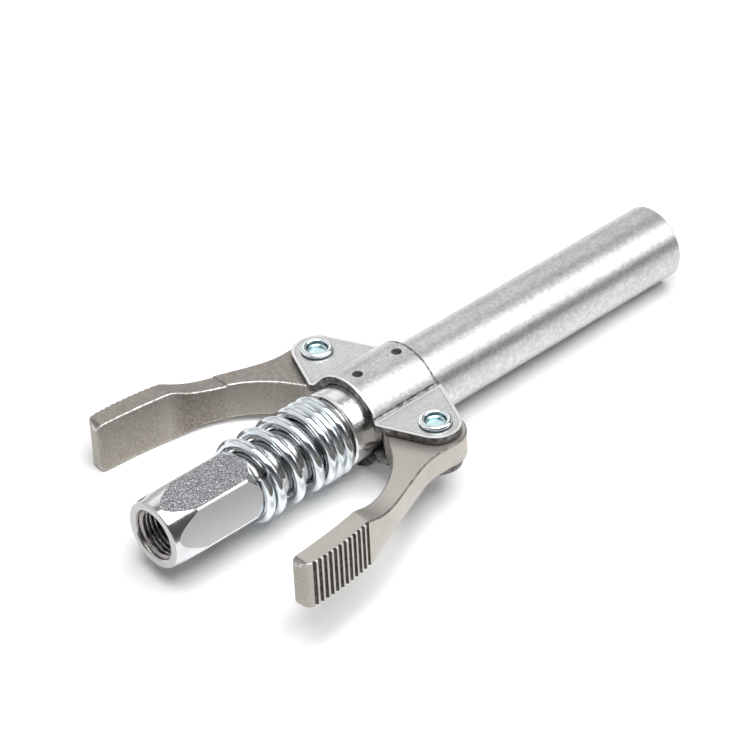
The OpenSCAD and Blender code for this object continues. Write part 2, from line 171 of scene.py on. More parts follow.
def new_finish(name):
    """A new material, its node tree and its surface."""
    finish = bpy.data.materials.new(name)
    finish.use_nodes = True
    return finish, finish.node_tree, finish.node_tree.nodes["Principled BSDF"]


def dress(tree, surface, colour, roughness, height, depth_mm):
    """Give a surface its colour, its roughness, and bumps of a depth in millimetres."""
    bump = add(tree, "ShaderNodeBump", Strength=1.0, Distance=depth_mm * MM, Height=height)
    for label, value in (("Base Color", colour), ("Roughness", roughness), ("Normal", bump)):
        feed(tree, surface.inputs[label], value)


print("node helpers ready")

# %% Metal finish
Mark = collections.namedtuple("Mark", "attribute colour rough least most patch_mm")
cloud_mm, rubbed_mm, dull_metal = 7, 2.2, 0.4


def metal_finish(name, colour, rough, grain, clouds=0.08, streak=None, metallic=1.0, dull_by=None,
                 grain_by=None, marks=()):
    """Metal with grain and clouds, and where asked with streaks and with marks from attributes.

    Rough is the least and most roughness, and grain the size and depth of the grain. A mark covers
    its faces by a share between its least and most, in patches.
    """
    finish, tree, surface = new_finish(name)
    place = add(tree, "ShaderNodeTexCoord").outputs["Object"]
    cloud = spread(tree, noise(tree, place, cloud_mm))
    height = grains = reach(tree, noise(tree, place, grain[0], 2.0), 0.32, 0.68, 0, 1)
    base = blend_colour(tree, cloud, shade(colour, 1 - clouds), shade(colour, 1 + clouds))
    speck = blend_colour(tree, grains, shade(colour, 0.8), shade(colour, 1.12))
    shown = blend_colour(tree, 0.4, base, speck)
    if streak:
        size_mm, stretch, share = streak
        drawn = spread(tree, noise(tree, place, size_mm, 3.0, stretch), 0, share)
        height = calculate(tree, "ADD", grains, drawn)
    if grain_by:
        height = calculate(tree, "MULTIPLY", height, attribute(tree, grain_by))
    roughness = spread(tree, noise(tree, place, rubbed_mm), *rough)
    for mark in marks:
        patches = reach(tree, noise(tree, place, mark.patch_mm), 0.36, 0.62, mark.least, mark.most)
        share = calculate(tree, "MULTIPLY", attribute(tree, mark.attribute), patches)
        shown = blend_colour(tree, share, shown, shade(mark.colour, 1))
        roughness = add(tree, "ShaderNodeMix", Factor=share, A=roughness, B=mark.rough)
    dress(tree, surface, shown, roughness, height, grain[1])
    surface.inputs["Metallic"].default_value = metallic
    if dull_by:
        dulled = reach(tree, attribute(tree, dull_by), 0, 1, metallic, dull_metal)
        feed(tree, surface.inputs["Metallic"], dulled)
    return finish


print("a mark has", len(Mark._fields), "values")

# %% Marks and metals
along_axis = (0.04, 1, 1)
# Lighter, smoother eased edges: wear, and a painted highlight, since the edges that get it are chosen by
# the way they face.
worn_and_lit_edge = Mark("edge_wear_and_highlight", (0.9, 0.88, 0.85), rough=0.25, least=0.0, most=0.85, patch_mm=0.6)
# Painted shade: dark lines on the eased edges that get no highlight, and on the step.
edge_shade_line = Mark("edge_shade_line", (0.16, 0.15, 0.14), rough=0.5, least=0.5, most=1.0, patch_mm=0.8)
# Dark grooves: dirt, and painted shade deep in the grooves.
groove_dirt_and_shade = Mark("groove", (0.085, 0.08, 0.07), rough=0.7, least=0.85, most=1.0, patch_mm=1.0)
# Painted shade on the levers' inner sides, which face the stem, and on their tips' ends.
inner_shade = Mark("inner_side", (0.19, 0.165, 0.135), rough=0.6, least=0.48, most=0.74, patch_mm=0.45)
# Painted shade on the levers' upper faces, much heavier on the left lever.
upper_shade = Mark("upper_side", (0.3, 0.275, 0.25), rough=0.55, least=0.36, most=0.5, patch_mm=0.8)
# Painted shade on the rounded top of each grip's tip.
tip_shade = Mark("tip_side", (0.16, 0.16, 0.165), rough=0.5, least=0.6, most=0.9, patch_mm=1.0)
# Dark cut edges: a rough sheared edge, and painted shade.
shear_and_shade_mark = Mark("cut_edge", (0.05, 0.047, 0.043), rough=0.4, least=0.74, most=1.0, patch_mm=1.1)
# Dirt and painted shade in the crease; painted shadow on the ears' cut edge and the wrap's front edge.
crease_dirt_and_shade = Mark("crease", (0.1, 0.095, 0.09), rough=0.4, least=0.4, most=1.0, patch_mm=0.8)
# Painted highlight on the brackets' eased edges, the panels' borders and the wrap's back rim.
edge_highlight = Mark("edge_wear_and_highlight", (0.95, 0.95, 0.96), rough=0.4, least=0.6, most=1.0, patch_mm=1.0)
# Painted shade on the wall of each rivet's hollow and under its rolled rim.
hollow_shade = Mark("hollow_shade", (0.1, 0.17, 0.19), rough=0.2, least=0.9, most=1.0, patch_mm=1.0)
hollow_floor = Mark("hollow_floor", (0.6, 0.82, 0.85), rough=0.12, least=0.9, most=1.0, patch_mm=1.0)
satin_flat = Mark("satin_flat", (0.68, 0.685, 0.695), rough=0.36, least=0.9, most=1.0, patch_mm=2.0)
# Painted shade in dark specks on the hexagon's upper flat.
flat_shade_specks = Mark("flat_shade_specks", (0.12, 0.12, 0.135), rough=0.3, least=0.05, most=0.88, patch_mm=0.36)
zinc_spots = Mark("zinc_spots", (0.3, 0.3, 0.31), rough=0.36, least=0.0, most=0.42, patch_mm=0.75)
panel_spots = Mark("ear_panel", (0.3, 0.3, 0.31), rough=0.36, least=0.0, most=0.26, patch_mm=0.6)
panel_line = Mark("panel_line", (0.1, 0.095, 0.09), rough=0.4, least=0.3, most=0.9, patch_mm=1.0)
turned_end = Mark("turned_end", (0.8, 0.795, 0.79), rough=0.15, least=0.9, most=1.0, patch_mm=2.0)
mouth_ring = Mark("mouth_ring", (0.48, 0.47, 0.46), rough=0.15, least=0.9, most=1.0, patch_mm=2.0)
sleeve_zinc = metal_finish("sleeve_zinc", (0.66, 0.665, 0.675), rough=(0.26, 0.34), grain=(0.3, 0.013),
                           streak=(0.3, along_axis, 0.5), marks=(turned_end, zinc_spots))
bracket_zinc = metal_finish("bracket_zinc", (0.67, 0.67, 0.67), rough=(0.26, 0.34), grain=(0.3, 0.013),
                            marks=(zinc_spots, panel_spots, panel_line, shear_and_shade_mark, edge_highlight,
                                   crease_dirt_and_shade))
hexagon_zinc = metal_finish("hexagon_zinc", (0.7, 0.71, 0.725), rough=(0.1, 0.16), grain=(0.38, 0.02),
                            dull_by="satin_flat", grain_by="flat_grain",
                            marks=(satin_flat, flat_shade_specks, mouth_ring))
rivet_zinc = metal_finish("rivet_zinc", (0.84, 0.89, 0.91), rough=(0.1, 0.15), grain=(0.5, 0.003),
                          marks=(hollow_shade, hollow_floor))
stem_steel = metal_finish("stem_steel", (0.56, 0.555, 0.55), rough=(0.13, 0.19), grain=(0.5, 0.006))
thread_steel = metal_finish("thread_steel", (0.34, 0.325, 0.32), rough=(0.2, 0.32), grain=(0.4, 0.006))
lever_metal = metal_finish("lever_metal", (0.56, 0.53, 0.49), rough=(0.4, 0.5), grain=(0.26, 0.018),
                           clouds=0.07, metallic=0.9,
                           marks=(inner_shade, upper_shade, tip_shade, worn_and_lit_edge, edge_shade_line, groove_dirt_and_shade))
jaw_steel = metal_finish("jaw_steel", (0.5, 0.5, 0.51), rough=(0.22, 0.34), grain=(0.4, 0.01))
# Painted shade: the pins are near black for the shade in their holes.
pin_steel = metal_finish("pin_steel", (0.11, 0.105, 0.1), rough=(0.3, 0.45), grain=(0.4, 0.012))
brass = metal_finish("brass", (0.78, 0.6, 0.32), rough=(0.18, 0.3), grain=(0.4, 0.008))
ball_steel = metal_finish("ball_steel", (0.78, 0.78, 0.8), rough=(0.05, 0.1), grain=(0.5, 0.002))
print("metal finishes", len(bpy.data.materials))

# %% Bright wire
die_mark_depth, run_stretch = 0.012, 60.0


def wire_finish(name, colour, rough):
    """Bright plated wire, with die marks that run along it."""
    finish, tree, surface = new_finish(name)
    slow_run = calculate(tree, "MULTIPLY", attribute(tree, "wire_run"), run_stretch)
    across = add(tree, "ShaderNodeSeparateXYZ", Vector=attribute(tree, "wire_round", "Vector"))
    line = add(tree, "ShaderNodeCombineXYZ", X=slow_run, Y=across.outputs["X"], Z=across.outputs["Y"])
    drawn = add(tree, "ShaderNodeTexNoise", Vector=line, Scale=5.0, Detail=4.0)
    share = spread(tree, drawn.outputs["Fac"])
    shown = blend_colour(tree, share, shade(colour, 0.9), shade(colour, 1.06))
    dress(tree, surface, shown, reach(tree, share, 0, 1, *rough), share, die_mark_depth)
    surface.inputs["Metallic"].default_value = 1.0
    return finish


spring_zinc = wire_finish("spring_zinc", (0.75, 0.8, 0.83), (0.08, 0.18))
small_spring_steel = wire_finish("small_spring_steel", (0.6, 0.6, 0.62), (0.15, 0.28))
print("wire finishes", spring_zinc.name, small_spring_steel.name)

# %% Rubber
mottle_mm, mottle_depth = 0.8, 0.01


def rubber_finish(name, colour, rough):
    """Moulded black rubber, dull and slightly mottled."""
    finish, tree, surface = new_finish(name)
    place = add(tree, "ShaderNodeTexCoord").outputs["Object"]
    mottle = spread(tree, noise(tree, place, mottle_mm))
    shown = blend_colour(tree, mottle, shade(colour, 0.8), shade(colour, 1.3))
    dress(tree, surface, shown, reach(tree, mottle, 0, 1, *rough), mottle, mottle_depth)
    return finish


black_rubber = rubber_finish("black_rubber", (0.03, 0.03, 0.033), (0.5, 0.68))
print("rubber", black_rubber.name)

# %% [markdown]
# ## Working with meshes
# Most pieces are turned on a lathe or cut from bar and sheet, so the helpers are a lathe, an
# extrusion, a cut and an eased edge. An outline's corners are rounded before it is turned, which
# gives clean rims without a Bevel. A rule can mark faces for the finish to find. Cuts leave strays,
# such as faces without area, and these are cleared before a piece is handed over.

# %% Meshes and objects
weld = 1e-7


@contextlib.contextmanager
def editing(mesh):
    """Open a mesh for editing, and write it back afterwards."""
    work = bmesh.new()
    work.from_mesh(mesh)
    yield work
    work.to_mesh(mesh)
    work.free()


def make_object(name, points=(), faces=()):
    """An object at the origin from points in millimetres, with its faces turned outwards."""
    mesh = bpy.data.meshes.new(name)
    mesh.from_pydata([Vector(point) * MM for point in points], [], list(faces))
    with editing(mesh) as work:
        bmesh.ops.remove_doubles(work, verts=work.verts, dist=weld)
        bmesh.ops.recalc_face_normals(work, faces=work.faces)
    return put(name, mesh)


print("points closer than", weld, "m are joined")

# %% Outlines
def arc(centre, radius, start, end, steps):
    """Points of an arc, with its angles in degrees."""
    turns = [math.radians(start + (end - start) * i / steps) for i in range(steps + 1)]
    return [(centre[0] + radius * math.cos(a), centre[1] + radius * math.sin(a)) for a in turns]


def circle(centre, radius, count, start=0):
    """A whole circle of evenly spaced points."""
    return arc(centre, radius, start, start + 360 - 360 / count, count - 1)


def soften(outline, radius, steps):
    """Round every corner of a closed outline, by less where its sides are short."""
    nearly_straight, most_of_side = math.radians(84), 0.45
    made = []
    for i, corner in enumerate(outline):
        here = Vector(corner)
        back = Vector(outline[i - 1]) - here
        ahead = Vector(outline[(i + 1) % len(outline)]) - here
        half = back.angle(ahead) / 2
        if half > nearly_straight:
            made.append(tuple(here))
            continue
        length = min(radius / math.tan(half), most_of_side * back.length, most_of_side * ahead.length)
        middle = (back.normalized() + ahead.normalized()).normalized()
        centre = here + middle * (length / math.cos(half))
        first = here + back.normalized() * length - centre
        last = here + ahead.normalized() * length - centre
        for k in range(steps + 1):
            spoke = first.lerp(last, k / steps).normalized() * first.length
            made.append(tuple(centre + spoke))
    return made


print("a softened square has", len(soften(circle((0, 0), 1, 4), 0.1, 4)), "points")

# %% Lathe and extrusion
on_axis = 1e-6


def turned(name, outline, steps):
    """A closed outline of (place, radius) points turned about the X axis.

    A radius may also be a function that gives it for a share of the turn.
    """
    points, rings, faces = [], [], []
    for place, radius in outline:
        if callable(radius):
            radii = [radius(k / steps) for k in range(steps)]
        else:
            radii = [radius] * (steps if radius > on_axis else 1)
        rings.append(range(len(points), len(points) + len(radii)))
        for k, r in enumerate(radii):
            turn = 2 * math.pi * k / steps
            points.append((place, r * math.cos(turn), r * math.sin(turn)))
    for i, ring in enumerate(rings):
        other = rings[(i + 1) % len(rings)]
        if len(ring) == 1 and len(other) == 1:
            continue
        for k in range(steps):
            m = (k + 1) % steps
            corners = [side[n % len(side)] for side, n in ((ring, k), (ring, m), (other, m), (other, k))]
            faces.append(list(dict.fromkeys(corners)))
    return make_object(name, points, faces)


def extruded(name, outline, low, high, place):
    """A closed outline pushed from low to high; place turns (u, v, height) into a point."""
    count = len(outline)
    points = [place(u, v, low) for u, v in outline] + [place(u, v, high) for u, v in outline]
    faces = [list(range(count))[::-1], list(range(count, 2 * count))]
    faces += [[i, (i + 1) % count, count + (i + 1) % count, count + i] for i in range(count)]
    return make_object(name, points, faces)


def seen_from_above(u, v, height):
    """An outline of (x, y) points, pushed upwards."""
    return (u, v, height)


def seen_from_side(u, v, height):
    """An outline of (x, z) points, pushed sideways."""
    return (u, height, v)


def seen_along_axis(u, v, height):
    """An outline of (y, z) points, pushed along the axis."""
    return (height, u, v)


print("outlines are read", seen_from_above(1, 2, 3), seen_from_side(1, 2, 3), seen_along_axis(1, 2, 3))

# %% Cutting and easing
cut_reach = 20.0


def settle(piece):
    """Turn a piece's modifiers into plain mesh."""
    graph = bpy.context.evaluated_depsgraph_get()
    made = bpy.data.meshes.new_from_object(piece.evaluated_get(graph))
    piece.modifiers.clear()
    piece.data = made
    return piece


def combine(piece, tool, way):
    """Cut one solid with another, or keep what they share, and remove the tool."""
    step = piece.modifiers.new("combine", "BOOLEAN")
    step.operation = way
    step.solver = "EXACT"
    step.object = tool
    settle(piece)
    bpy.data.objects.remove(tool)


def drill(piece, centre, radius, count):
    """Cut an upright round hole through a piece."""
    bit = extruded("drill", circle(centre, radius, count), -cut_reach, cut_reach, seen_from_above)
    combine(piece, bit, "DIFFERENCE")


def ease_edges(piece, width, over):
    """Round edges that turn by more than an angle; their faces are marked for wear and painted highlight.
    """
    piece.data.materials.clear()
    for slot in range(2):
        piece.data.materials.append(None)
    bevel = piece.modifiers.new("edges", "BEVEL")
    bevel.width = width * MM
    bevel.segments = 3
    bevel.limit_method = "ANGLE"
    bevel.angle_limit = math.radians(over)
    bevel.material = 1
    settle(piece)
    edge = piece.data.attributes.new("edge_wear_and_highlight", "FLOAT", "FACE")
    for face in piece.data.polygons:
        edge.data[face.index].value = float(face.material_index == 1)
        face.material_index = 0
    piece.data.materials.clear()


def smooth(piece, over=30):
    """Smooth shading with true flats: normals are weighted by the size of the faces."""
    piece.data.shade_smooth()
    piece.data.set_sharp_from_angle(angle=math.radians(over))
    weigh = piece.modifiers.new("flats", "WEIGHTED_NORMAL")
    weigh.keep_sharp = True
    settle(piece)


print("cutters reach", cut_reach, "mm to each side")

# %% Marking and handing over
stray_mm = 0.0001
straight = math.radians(179)


def mark_faces(piece, name, rule):
    """Store what a rule gives for each face, from its middle in millimetres and its normal."""
    piece.data.attributes.new(name, "FLOAT", "FACE")
    shares = [float(rule(face.center / MM, face.normal)) for face in piece.data.polygons]
    piece.data.attributes[name].data.foreach_set("value", shares)


def clear_strays(piece):
    """Join points that coincide, and drop faces without area and points that only divide an edge."""
    with editing(piece.data) as work:
        bmesh.ops.remove_doubles(work, verts=work.verts, dist=stray_mm * MM)
        bmesh.ops.dissolve_degenerate(work, edges=work.edges, dist=stray_mm * MM)
        idle = []
        for point in work.verts:
            if len(point.link_edges) == 2:
                ends = [edge.other_vert(point).co - point.co for edge in point.link_edges]
                if ends[0].angle(ends[1], 0) > straight:
                    idle.append(point)
        bmesh.ops.dissolve_verts(work, verts=idle)


def finish_piece(piece, finish, body, slot, *nodes):
    """Give a piece its material, the body it rides on and the nodes it stands for."""
    clear_strays(piece)
    piece.data.materials.clear()
    piece.data.materials.append(finish)
    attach(piece, body)
    if nodes:
        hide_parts(*nodes)
    count = sum(len(face.vertices) - 2 for face in piece.data.polygons)
    print(piece.name, "rides on", body, "with", count, "triangles")


print("strays within", stray_mm, "mm are cleared")

# %% [markdown]
# ## Hexagon
# The inlet is hexagon bar, turned to a slim cone at its mouth, so each flat ends in a curve. Those
# curves could be drawn, but they come by themselves when a hexagonal bar is kept only where it lies
# inside a turned shape. The hole is then cut through it.

# %% Hexagon
hex_flats = 14.2
hex_len = 21.4
hex_turn = 16.0
mouth_r = 6.95
corner_r = 8.05
hex_cone_len = 6.6
rear_cone_len = 2.5
mouth_round = 0.45
stem_r = 6.2
inlet_r = 5.15
inlet_depth = 11.0
chamber_r = 3.3
mouth_flare, mouth_flare_end = 1.25, 0.25
across_corners = hex_flats / 2 / math.cos(math.radians(30))
hexagon = extruded("hexagon", circle((0, 0), across_corners, 6, hex_turn), 0, hex_len, seen_along_axis)
turned_limit = ([(0, 0)] + arc((mouth_round, mouth_r - mouth_round + 0.01), mouth_round, 180, 100, 12)
                + [(hex_cone_len, corner_r), (hex_len - rear_cone_len, corner_r),
                   (hex_len, hex_flats / 2), (hex_len, 0)])
combine(hexagon, turned("limit", turned_limit, 192), "INTERSECT")
hole = [(-1, 0), (-1, inlet_r + mouth_flare), (mouth_flare_end, inlet_r), (inlet_depth, inlet_r),
        (inlet_depth, chamber_r), (hex_len + 1, chamber_r), (hex_len + 1, 0)]
combine(hexagon, turned("hole", hole, 96), "DIFFERENCE")
ease_edges(hexagon, 0.16, over=8)
smooth(hexagon, 40)
coarse, faint, bare = 1.0, 0.35, 0.04
same_way = 0.998
upper_flat = Matrix.Rotation(math.radians(hex_turn), 3, "X") @ Vector((0, 0, 1))
flats = [Matrix.Rotation(math.radians(60 * k), 3, "X") @ upper_flat for k in range(6)]


def flat_grain(middle, normal):
    """Coarse grain on the upper flat, faint grain on the others, almost none where it was turned."""
    if normal.dot(upper_flat) > same_way:
        return coarse
    return faint if max(normal.dot(flat) for flat in flats) > same_way else bare


mark_faces(hexagon, "flat_grain", flat_grain)
# Painted shade, in dark specks, on the upper flat only.
mark_faces(hexagon, "flat_shade_specks", lambda middle, normal: flat_grain(middle, normal) == coarse)
mark_faces(hexagon, "mouth_ring", lambda middle, normal: normal.x < -0.7)
mark_faces(hexagon, "satin_flat", lambda middle, normal: flat_grain(middle, normal) == faint)
finish_piece(hexagon, hexagon_zinc, "core", "bright_zinc", "stem_body")

# %% [markdown]
# ## Thread
# The inlet has a fine tapered pipe thread. A picture of rings would not hold up from close by, so
# the ridge is real: a grid is wrapped round the hole and its radius follows the distance from the
# nearest turn of the helix. The ridge fades out at the mouth, as a countersunk thread does.

# %% Thread
thread_pitch = 0.94
thread_depth = 0.58
thread_taper = 1 / 32
thread_wall, thread_gap = 0.2, 0.02
flank_gain, root_flat = 2.6, 0.15
thread_from, thread_to = 0.28, 10.6
fade_in, fade_out = 0.9, 0.6
stations_per_pitch = 14
stations = int((thread_to - thread_from) / thread_pitch * stations_per_pitch)


def thread_radius(place, share):
    """Inner radius at a place along the axis and a share of a turn."""
    phase = (place / thread_pitch - share) % 1
    flank = min(1, max(0, (0.5 - abs(phase - 0.5)) * flank_gain - root_flat))
    fade = min(1, (place - thread_from) / fade_in) * min(1, (thread_to - place) / fade_out)
    return inlet_r - thread_gap - (thread_taper * place + thread_depth * flank) * max(fade, 0)


ridge = []
for i in range(stations + 1):
    place = thread_from + (thread_to - thread_from) * i / stations
    ridge.append((place, functools.partial(thread_radius, place)))
outer_r = inlet_r + thread_wall
thread = turned("inlet_thread", [(thread_from, outer_r)] + ridge + [(thread_to, outer_r)], 96)
smooth(thread, 40)
finish_piece(thread, thread_steel, "core", "bright_zinc")

# %% [markdown]
# ## Stem
# Behind the hexagon runs a plain ground rod. Only a short length shows through the spring; the rest
# slides in the sleeve, with a groove where the levers' noses push and a small head for the jaws.
# It is a lathe job, so one outline is turned.

# %% Stem
pivot_x, pivot_side = 56.8, 16.95
groove_back, groove_front, groove_r = pivot_x - 6.47, pivot_x - 0.92, 3.43
shoulder, neck_r, head_back, head_front, head_r = 112.4, 3.8, 115.5, 117.5, 4.8
chamber_end, passage_r, plunger_bore_back, plunger_bore_r = 25.0, 1.25, 97.0, 2.9
stem_start = hex_len - 0.4
stem_outline = [(stem_start, chamber_r), (stem_start, stem_r), (groove_back, stem_r),
                (groove_back, groove_r), (groove_front, groove_r), (groove_front, stem_r),
                (shoulder, stem_r), (shoulder, neck_r), (head_back, neck_r), (head_back, head_r),
                (head_front, head_r), (head_front, plunger_bore_r), (plunger_bore_back, plunger_bore_r),
                (plunger_bore_back, passage_r), (chamber_end, passage_r), (chamber_end, chamber_r)]
stem = turned("stem_rod", soften(stem_outline, 0.12, 2), 128)
smooth(stem)
finish_piece(stem, stem_steel, "core", "bright_zinc")

# %% [markdown]
# ## Springs
# A spring is a rule: so many turns, so thick a wire, so far apart. Geometry Nodes suit it, because
# each number stays a named input. The tree bends a line of points into the wire's path: the first
# part of a turn lies flat, the middle turns stand open and the last ones lie closed. It then sweeps
# a circle along that path. The same tree winds the two small springs inside.

# %% Tree helpers
def node_group(name, floats, integers=(), geometry=False):
    """A new Geometry Nodes tree with named inputs: the tree, what is given, and their identifiers."""
    tree = bpy.data.node_groups.new(name, "GeometryNodeTree")
    tree.interface.new_socket("Geometry", in_out="OUTPUT", socket_type="NodeSocketGeometry")
    kinds = {"Geometry": "NodeSocketGeometry"} if geometry else {}
    kinds.update(dict.fromkeys(floats, "NodeSocketFloat"))
    kinds.update(dict.fromkeys(integers, "NodeSocketInt"))
    kinds["Finish"] = "NodeSocketMaterial"
    keys = {}
    for label, kind in kinds.items():
        keys[label] = tree.interface.new_socket(label, in_out="INPUT", socket_type=kind).identifier
    return tree, tree.nodes.new("NodeGroupInput").outputs, keys


def close_tree(tree, shape, finish):
    """End a tree: make its instances real, give them their material and put them out."""
    real = add(tree, "GeometryNodeRealizeInstances", Geometry=shape)
    dressed = add(tree, "GeometryNodeSetMaterial", Geometry=real, Material=finish)
    add(tree, "NodeGroupOutput", Geometry=dressed)


def run_tree(piece, tree, keys, values):
    """Run a tree on a piece with values for its named inputs, and keep the mesh that it makes."""
    step = piece.modifiers.new(tree.name, "NODES")
    step.node_group = tree
    for label, value in values.items():
        step[keys[label]] = value
    return settle(piece)


print("tree helpers ready")

# %% Wound wire tree
def wound_wire_tree():
    """A node tree that winds a wire about the X axis."""
    names = ("Start", "End", "Turn Radius", "Wire", "First Angle", "Flat Turns", "Open Turns",
             "Closed Turns", "Closed Pitch", "Ease", "Points Per Turn")
    tree, given, keys = node_group("wound_wire", names, integers=("Sides",))
    work = functools.partial(calculate, tree)
    turns = work("ADD", work("ADD", given["Flat Turns"], given["Open Turns"]), given["Closed Turns"])
    count = work("ADD", work("FLOOR", work("MULTIPLY", turns, given["Points Per Turn"])), 1)
    turn = work("DIVIDE", add(tree, "GeometryNodeInputIndex"), given["Points Per Turn"])
    past_flat = work("SUBTRACT", turn, given["Flat Turns"])
    opened = work("SMOOTH_MIN", work("SMOOTH_MAX", past_flat, 0, given["Ease"]),
                  given["Open Turns"], given["Ease"])
    closed = work("SMOOTH_MAX", work("SUBTRACT", past_flat, given["Open Turns"]), 0, given["Ease"])
    closed_len = work("MULTIPLY", given["Closed Turns"], given["Closed Pitch"])
    open_len = work("SUBTRACT", work("SUBTRACT", given["End"], given["Start"]), closed_len)
    open_pitch = work("DIVIDE", open_len, given["Open Turns"])
    place = work("ADD", given["Start"], work("ADD", work("MULTIPLY", opened, open_pitch),
                                             work("MULTIPLY", closed, given["Closed Pitch"])))
    angle = work("ADD", given["First Angle"], work("MULTIPLY", turn, 2 * math.pi))
    spot = add(tree, "ShaderNodeCombineXYZ", X=place,
               Y=work("MULTIPLY", given["Turn Radius"], work("COSINE", angle)),
               Z=work("MULTIPLY", given["Turn Radius"], work("SINE", angle)))
    line = add(tree, "GeometryNodeMeshLine", Count=count)
    moved = add(tree, "GeometryNodeSetPosition", Geometry=line, Position=spot)
    path = add(tree, "GeometryNodeMeshToCurve", Mesh=moved)
    run = work("MULTIPLY", turn, work("MULTIPLY", given["Turn Radius"], 2 * math.pi))
    marked = add(tree, "GeometryNodeStoreNamedAttribute", {"data_type": "FLOAT", "domain": "POINT"},
                 Geometry=path, Name="wire_run", Value=run)
    ring = add(tree, "GeometryNodeCurvePrimitiveCircle", Resolution=given["Sides"],
               Radius=work("DIVIDE", given["Wire"], 2))
    spoke = add(tree, "ShaderNodeVectorMath", {"operation": "NORMALIZE"})
    feed(tree, spoke.inputs[0], add(tree, "GeometryNodeInputPosition"))
    rounded = add(tree, "GeometryNodeStoreNamedAttribute",
                  {"data_type": "FLOAT_VECTOR", "domain": "POINT"},
                  Geometry=ring, Name="wire_round", Value=spoke)
    swept = add(tree, "GeometryNodeCurveToMesh", Curve=marked, Profile_Curve=rounded, Fill_Caps=True)
    close_tree(tree, swept, given["Finish"])
    return tree, keys


wound_wire, wire_keys = wound_wire_tree()
print("wound wire tree with", len(wire_keys), "inputs")

# %% Wind the three springs
sleeve_start, sleeve_travel = 44.5, 4.5485
plunger_back, small_travel = 106.0, 1.2
wire_d = 2.2
lengths = ("start", "end", "turn_radius", "wire", "closed_pitch")


def coil(name, finish, slot, node, joint, travel, held, **sizes):
    """Wind a spring from start to end, sizes in mm and turns; joint and held are not used."""
    back, front = sizes["start"], sizes["end"]
    sizes.update(start=back + sizes["wire"] / 2, end=front - sizes["wire"] / 2)
    values = {"Finish": finish}
    for key, size in sizes.items():
        values[key.replace("_", " ").title()] = size * MM if key in lengths else size
    piece = run_tree(make_object(name), wound_wire, wire_keys, values)
    with editing(piece.data) as work:
        bmesh.ops.recalc_face_normals(work, faces=work.faces)
    piece.data.shade_smooth()
    piece.data.set_sharp_from_angle(angle=math.radians(50))
    finish_piece(piece, finish, "core", slot, node)
    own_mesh(piece)


small_coil = functools.partial(coil, finish=small_spring_steel, slot="small_spring_steel",
                               travel=small_travel, first_angle=0.0, closed_turns=0.5, closed_pitch=0.0,
                               ease=0.2, points_per_turn=40.0, sides=12)
coil("return_spring_coil", spring_zinc, "spring_zinc", "return_spring", "sleeve_slide", sleeve_travel,
     hex_len, start=hex_len, end=sleeve_start, turn_radius=7.55, wire=wire_d,
     first_angle=math.radians(145), flat_turns=0.55, open_turns=2.95, closed_turns=2.95,
     closed_pitch=wire_d + 0.04, ease=0.25, points_per_turn=96.0, sides=24)
small_coil("plunger_spring_coil", node="plunger_spring", joint="seal_give", held=plunger_bore_back,
           start=plunger_bore_back, end=plunger_back, turn_radius=2.4, wire=0.7, flat_turns=0.5,
           open_turns=4.0)
check_from, check_to = (corner.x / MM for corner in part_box("check_spring"))
small_coil("check_spring_coil", node="check_spring", joint="check_ball_lift", held=check_to,
           start=check_from, end=check_to, turn_radius=1.4, wire=0.5, flat_turns=0.4, open_turns=3.6)

# %% [markdown]
# ## Sleeve
# The long sleeve is drawn tube with a cone in its mouth. It is turned from one outline with eased
# rims. Two windows let the levers' noses through, and the pins of the brackets go into four holes.

# %% Sleeve
sleeve_r, sleeve_bore_r, sleeve_end = 8.0, 6.25, 135.9
mouth_start, mouth_rim_r = sleeve_end - 4, 7.137
pin_places, pin_hole_r = (pivot_x - 4.4, pivot_x + 5.9), 1.07
window_back, window_front, window_half = pivot_x - 6, pivot_x + 4.2, 2.95
rim = 0.4
turned_to = sleeve_start + 4.6
sleeve_outline = [(sleeve_start, sleeve_bore_r), (sleeve_start, sleeve_r - rim),
                  (sleeve_start + rim, sleeve_r), (turned_to, sleeve_r), (sleeve_end - rim, sleeve_r),
                  (sleeve_end, sleeve_r - rim), (sleeve_end, mouth_rim_r), (mouth_start, sleeve_bore_r)]
sleeve = turned("sleeve_tube", soften(sleeve_outline, 0.25, 3), 160)
window = [(window_back, -window_half), (window_front, -window_half), (window_front, window_half),
          (window_back, window_half)]
combine(sleeve, extruded("window", window, -cut_reach, cut_reach, seen_from_side), "DIFFERENCE")
for x in pin_places:
    drill(sleeve, (x, 0), pin_hole_r, 36)
smooth(sleeve)
mark_faces(sleeve, "turned_end", lambda middle, normal: middle.x < turned_to)
mark_faces(sleeve, "zinc_spots", lambda middle, normal: middle.x > turned_to)
finish_piece(sleeve, sleeve_zinc, "sleeve", "sleeve_zinc", "barrel_sleeve")

# %% [markdown]
# ## Brackets
# Two pressed plates clasp the sleeve, one above and one below, and their flat ears carry the levers.
# A plate could be bent with a modifier, but its two views say all about it: the bent section seen
# along the axis, and the cut-out seen from above. Each is extruded, and what they share is the plate.
# The press leaves a panel with a fine line round it in each ear, too fine to model. The half of the
# ears' cut edge next to the lever gets painted shade, where the gap's shadow falls. So the faces are
# divided there and marked for the finish, which also paints highlights on the eased edges.

# %% Bracket outlines
wrap_in, wrap_out, sheet_t, bend_r = 8.15, 9.65, 1.5, 0.6
ear_under = 3.05
ear_top = ear_under + sheet_t
bend_z = ear_top + bend_r
bend_y = math.sqrt((wrap_out + bend_r) ** 2 - bend_z ** 2)
bend_angle = math.degrees(math.atan2(bend_z, bend_y))
ear_r, ear_end = 5.1, 23.0
wrap_back, wrap_front, ear_back = pivot_x - 7.8, pivot_x + 8.7, pivot_x - 8.8
wrap_foot = wrap_in - 0.6


def flipped(outline):
    """The same half outline on the other side, in reverse order."""
    return [(-u, v) for u, v in outline[::-1]]


